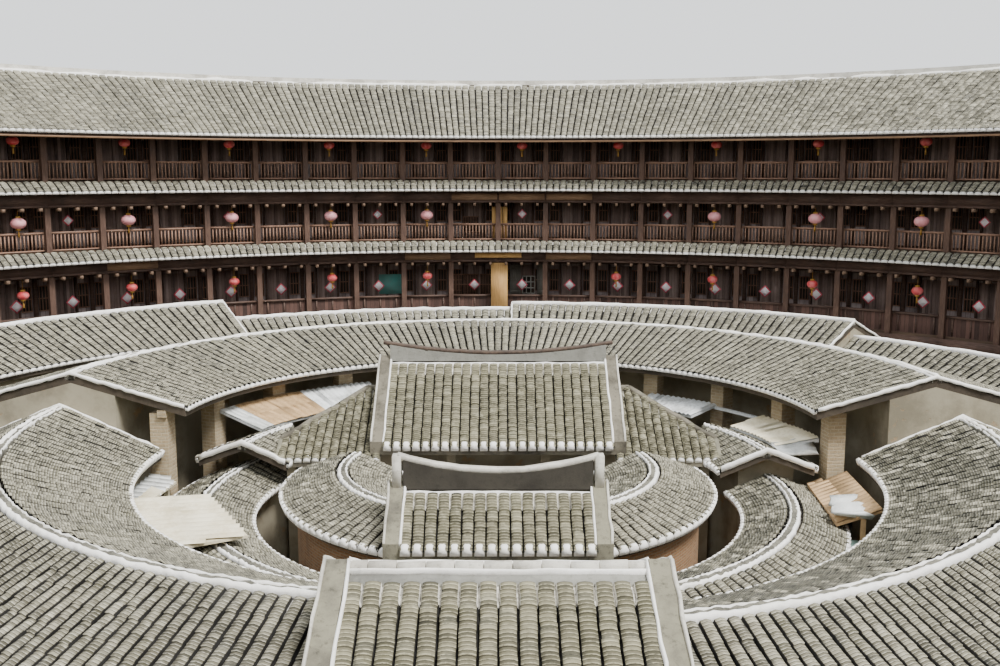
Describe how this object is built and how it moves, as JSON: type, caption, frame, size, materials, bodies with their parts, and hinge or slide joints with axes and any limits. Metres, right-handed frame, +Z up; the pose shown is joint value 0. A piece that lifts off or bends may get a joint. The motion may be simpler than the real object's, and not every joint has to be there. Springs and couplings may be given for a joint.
{
  "type": "tulou roundhouse, scale model 1:2",
  "caption": "Round earth-walled house: galleried timber storeys round a court of low tiled ring buildings and a small central hall.",
  "frame": {"origin": "centre of the court at ground level, below the middle of the round plan", "axes": "+Z up, -Y towards the main gate, +X to the right seen from the gate"},
  "size_m": [33, 33, 6.81],
  "materials": {
    "earth_wall": "dry rammed earth",
    "timber": "weathered oiled timber",
    "boards": "weathered boards",
    "clay_tile": "weathered grey clay tile",
    "brick": "dry earth brick",
    "plaster": "stained lime plaster",
    "lime_mortar": "lime mortar",
    "plastic_sheet": "weathered translucent sheet"
  },
  "bodies": {
    "root": {"canopy_back_left": "plastic_sheet", "canopy_back_right": "plastic_sheet", "canopy_left": "plastic_sheet", "canopy_right": "plastic_sheet", "core_roof_left": "clay_tile", "core_roof_right": "clay_tile", "core_walls": "brick", "floor_2": "boards", "floor_3": "boards", "floor_4": "boards", "gallery_posts_back": "timber", "gallery_posts_front": "timber", "gallery_posts_left": "timber", "gallery_posts_right": "timber", "gate_hall_ridge": "lime_mortar", "gate_hall_roof": "clay_tile", "main_hall_ridge": "lime_mortar", "main_hall_roof": "clay_tile", "main_hall_walls": "plaster", "main_roof_inner": "clay_tile", "main_roof_outer": "clay_tile", "outer_wall_back": "earth_wall", "outer_wall_left": "earth_wall", "outer_wall_over_gate": "earth_wall", "outer_wall_right": "earth_wall", "parapet_2": "timber", "passage_roof": "clay_tile", "passage_walls": "plaster", "pent_roof_3": "clay_tile", "pent_roof_4": "clay_tile", "railing_3": "timber", "railing_4": "timber", "ring_a_roof_back_left": "clay_tile", "ring_a_roof_back_right": "clay_tile", "ring_a_roof_front_left": "clay_tile", "ring_a_roof_front_right": "clay_tile", "ring_a_walls_left": "plaster", "ring_a_walls_right": "plaster", "ring_b_piers": "brick", "ring_b_roof_back": "clay_tile", "ring_b_roof_left": "clay_tile", "ring_b_roof_right": "clay_tile", "ring_b_walls_back": "plaster", "ring_b_walls_left": "plaster", "ring_b_walls_right": "brick", "ring_c_roof_back_left": "clay_tile", "ring_c_roof_back_right": "clay_tile", "ring_c_roof_left": "clay_tile", "ring_c_roof_right": "clay_tile", "ring_c_walls_back": "plaster", "ring_c_walls_left": "plaster", "ring_c_walls_right": "plaster", "room_fronts_1": "boards", "room_fronts_2": "boards", "room_fronts_3": "boards", "room_fronts_4": "boards", "wing_roof_left": "clay_tile", "wing_roof_right": "clay_tile"}
  },
  "joints": []
}
